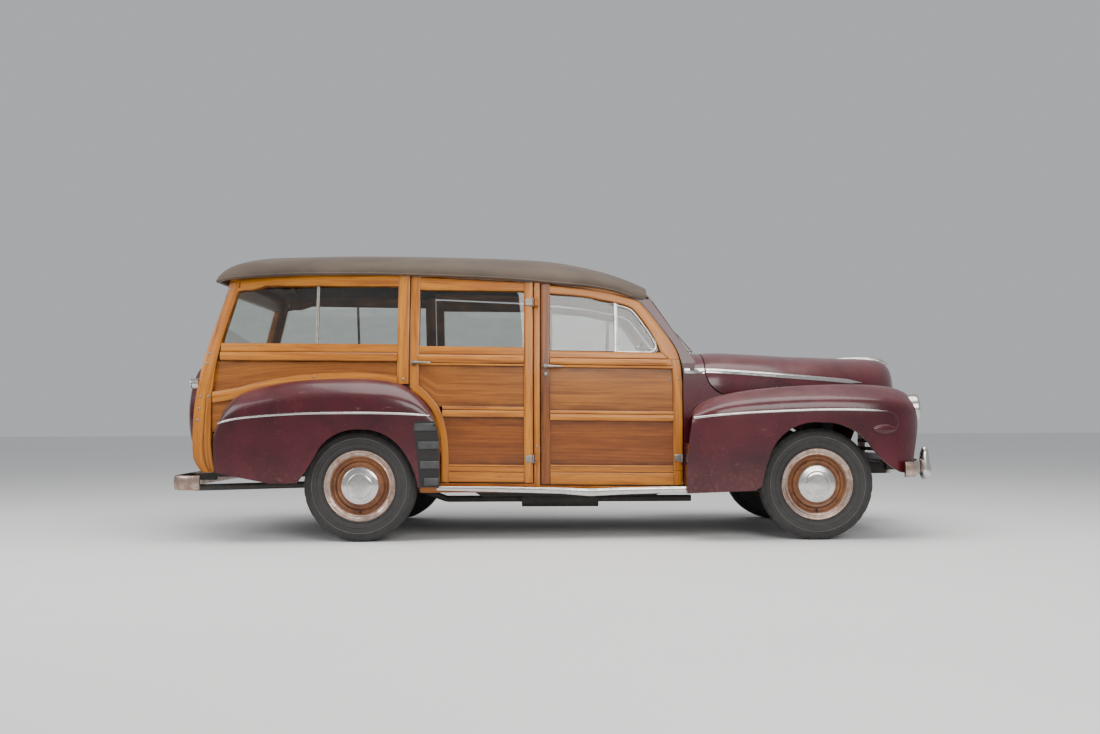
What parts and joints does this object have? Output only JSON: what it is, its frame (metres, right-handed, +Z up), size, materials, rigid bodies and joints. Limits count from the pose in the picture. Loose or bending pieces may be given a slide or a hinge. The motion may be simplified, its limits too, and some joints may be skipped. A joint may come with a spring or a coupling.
{
  "type": "station wagon",
  "caption": "Wood-bodied four-door station wagon with steel hood and fenders, fabric roof, drop tailgate and outside spare wheel.",
  "frame": {"origin": "floor point under the middle of the overall length and width", "axes": "+X to the front, +Y to the car's left, +Z up"},
  "size_m": [5.008, 1.8656, 1.8792],
  "materials": {
    "body_wood": "varnished",
    "body_paint": "faded",
    "bright_metal": "worn",
    "black_paint": "dusty",
    "cast_metal": "matte",
    "bare_steel": "rusty",
    "seat_hide": "worn",
    "roof_cloth": "coated",
    "guard_rubber": "ribbed",
    "steering_rim": "glossy",
    "wheel_paint": "rusty",
    "tyre": "matte",
    "glass": "clear"
  },
  "bodies": {
    "body": {"chassis_frame": "black_paint", "cross_members": "black_paint", "floor_pan": "black_paint", "cowl": "body_paint", "fixed_glass": "glass", "roof": "roof_cloth", "side_frame_left": "body_wood", "side_frame_right": "body_wood", "rear_quarter_left": "body_wood", "rear_quarter_right": "body_wood", "rear_header": "body_wood", "tail_valance": "body_wood", "front_fenders": "body_paint", "rear_fenders": "body_paint", "stone_guards": "guard_rubber", "nose_apron": "body_paint", "grille": "bright_metal", "headlamps": "bright_metal", "tail_lamps": "bright_metal", "front_bumper": "bright_metal", "rear_bumper": "bright_metal", "sill_mouldings": "bright_metal", "front_axle": "black_paint", "rear_axle": "black_paint", "engine": "cast_metal", "radiator": "black_paint", "fuel_tank": "black_paint", "exhaust": "bare_steel", "front_seat": "seat_hide", "middle_seat": "seat_hide", "third_seat": "seat_hide", "dashboard": "body_paint"},
    "front_door_left": {"front_door_left": "body_wood", "front_door_glass_left": "glass"},
    "rear_door_left": {"rear_door_left": "body_wood", "rear_door_glass_left": "glass"},
    "front_door_right": {"front_door_right": "body_wood", "front_door_glass_right": "glass"},
    "rear_door_right": {"rear_door_right": "body_wood", "rear_door_glass_right": "glass"},
    "hood": {"hood": "body_paint"},
    "liftgate": {"liftgate": "body_wood", "liftgate_glass": "glass"},
    "tailgate": {"tailgate": "body_wood"},
    "spare": {"spare_wheel": "body_paint", "spare_carrier": "black_paint"},
    "knuckle_left": {"knuckle_left": "cast_metal"},
    "knuckle_right": {"knuckle_right": "cast_metal"},
    "tie_rod": {"tie_rod": "black_paint"},
    "steering_wheel": {"steering_wheel": "steering_rim"},
    "wheel_front_left": {"wheel_front_left": "wheel_paint", "tyre_front_left": "tyre"},
    "wheel_front_right": {"wheel_front_right": "wheel_paint", "tyre_front_right": "tyre"},
    "wheel_rear_left": {"wheel_rear_left": "wheel_paint", "tyre_rear_left": "tyre"},
    "wheel_rear_right": {"wheel_rear_right": "wheel_paint", "tyre_rear_right": "tyre"}
  },
  "joints": [
    {"name": "front_door_left_hinge", "type": "hinge", "parent": "body", "child": "front_door_left", "pos_m": [0.7935, 0.71531, 0.74], "axis": [0, 0, -1], "range_deg": [0, 65]},
    {"name": "rear_door_left_hinge", "type": "hinge", "parent": "body", "child": "rear_door_left", "pos_m": [-0.1578, 0.79127, 0.74], "axis": [0, 0.041, -0.9992], "range_deg": [0, 65]},
    {"name": "front_door_right_hinge", "type": "hinge", "parent": "body", "child": "front_door_right", "pos_m": [0.7935, -0.71531, 0.74], "axis": [0, 0, 1], "range_deg": [0, 65]},
    {"name": "rear_door_right_hinge", "type": "hinge", "parent": "body", "child": "rear_door_right", "pos_m": [-0.1578, -0.79127, 0.74], "axis": [0, 0.041, 0.9992], "range_deg": [0, 65]},
    {"name": "hood_hinge", "type": "hinge", "parent": "body", "child": "hood", "pos_m": [0.952, 0, 1.2145], "axis": [0, -1, 0], "range_deg": [0, 48]},
    {"name": "liftgate_hinge", "type": "hinge", "parent": "body", "child": "liftgate", "pos_m": [-2.14, 0, 1.66], "axis": [0, 1, 0], "range_deg": [0, 75]},
    {"name": "tailgate_hinge", "type": "hinge", "parent": "body", "child": "tailgate", "pos_m": [-2.359, 0, 0.742], "axis": [0, -1, 0], "range_deg": [0, 90]},
    {"name": "spare_carrier_hinge", "type": "hinge", "parent": "tailgate", "child": "spare", "pos_m": [-2.32, 0, 1.115], "axis": [0, -1, 0], "range_deg": [-90, 0]},
    {"name": "steer_left", "type": "hinge", "parent": "body", "child": "knuckle_left", "pos_m": [1.64, 0.65, 0.355], "axis": [0, 0, 1], "range_deg": [-30, 30]},
    {"name": "steer_right", "type": "hinge", "parent": "body", "child": "knuckle_right", "pos_m": [1.64, -0.65, 0.355], "axis": [0, 0, 1], "range_deg": [-30, 30]},
    {"name": "tie_rod_pivot", "type": "hinge", "parent": "knuckle_left", "child": "tie_rod", "pos_m": [1.513, 0.65, 0.3297], "axis": [0, 0, 1], "range_deg": [-30, 30]},
    {"name": "steering_wheel_turn", "type": "hinge", "parent": "body", "child": "steering_wheel", "pos_m": [0.43, 0.37, 1.04], "axis": [-0.7769, 0, 0.6297], "range_deg": [-540, 540]},
    {"name": "spin_front_left", "type": "hinge", "parent": "knuckle_left", "child": "wheel_front_left", "pos_m": [1.64, 0.7365, 0.355], "axis": [0, 1, 0], "continuous": true},
    {"name": "spin_front_right", "type": "hinge", "parent": "knuckle_right", "child": "wheel_front_right", "pos_m": [1.64, -0.7365, 0.355], "axis": [0, 1, 0], "continuous": true},
    {"name": "spin_rear_left", "type": "hinge", "parent": "body", "child": "wheel_rear_left", "pos_m": [-1.256, 0.762, 0.355], "axis": [0, 1, 0], "continuous": true},
    {"name": "spin_rear_right", "type": "hinge", "parent": "body", "child": "wheel_rear_right", "pos_m": [-1.256, -0.762, 0.355], "axis": [0, 1, 0], "continuous": true}
  ],
  "couplings": [
    {"joint": "spare_carrier_hinge", "follows": "tailgate_hinge", "ratio": -1},
    {"joint": "steer_right", "follows": "steer_left", "ratio": 1},
    {"joint": "tie_rod_pivot", "follows": "steer_left", "ratio": -1},
    {"joint": "steering_wheel_turn", "follows": "steer_left", "ratio": 18}
  ]
}
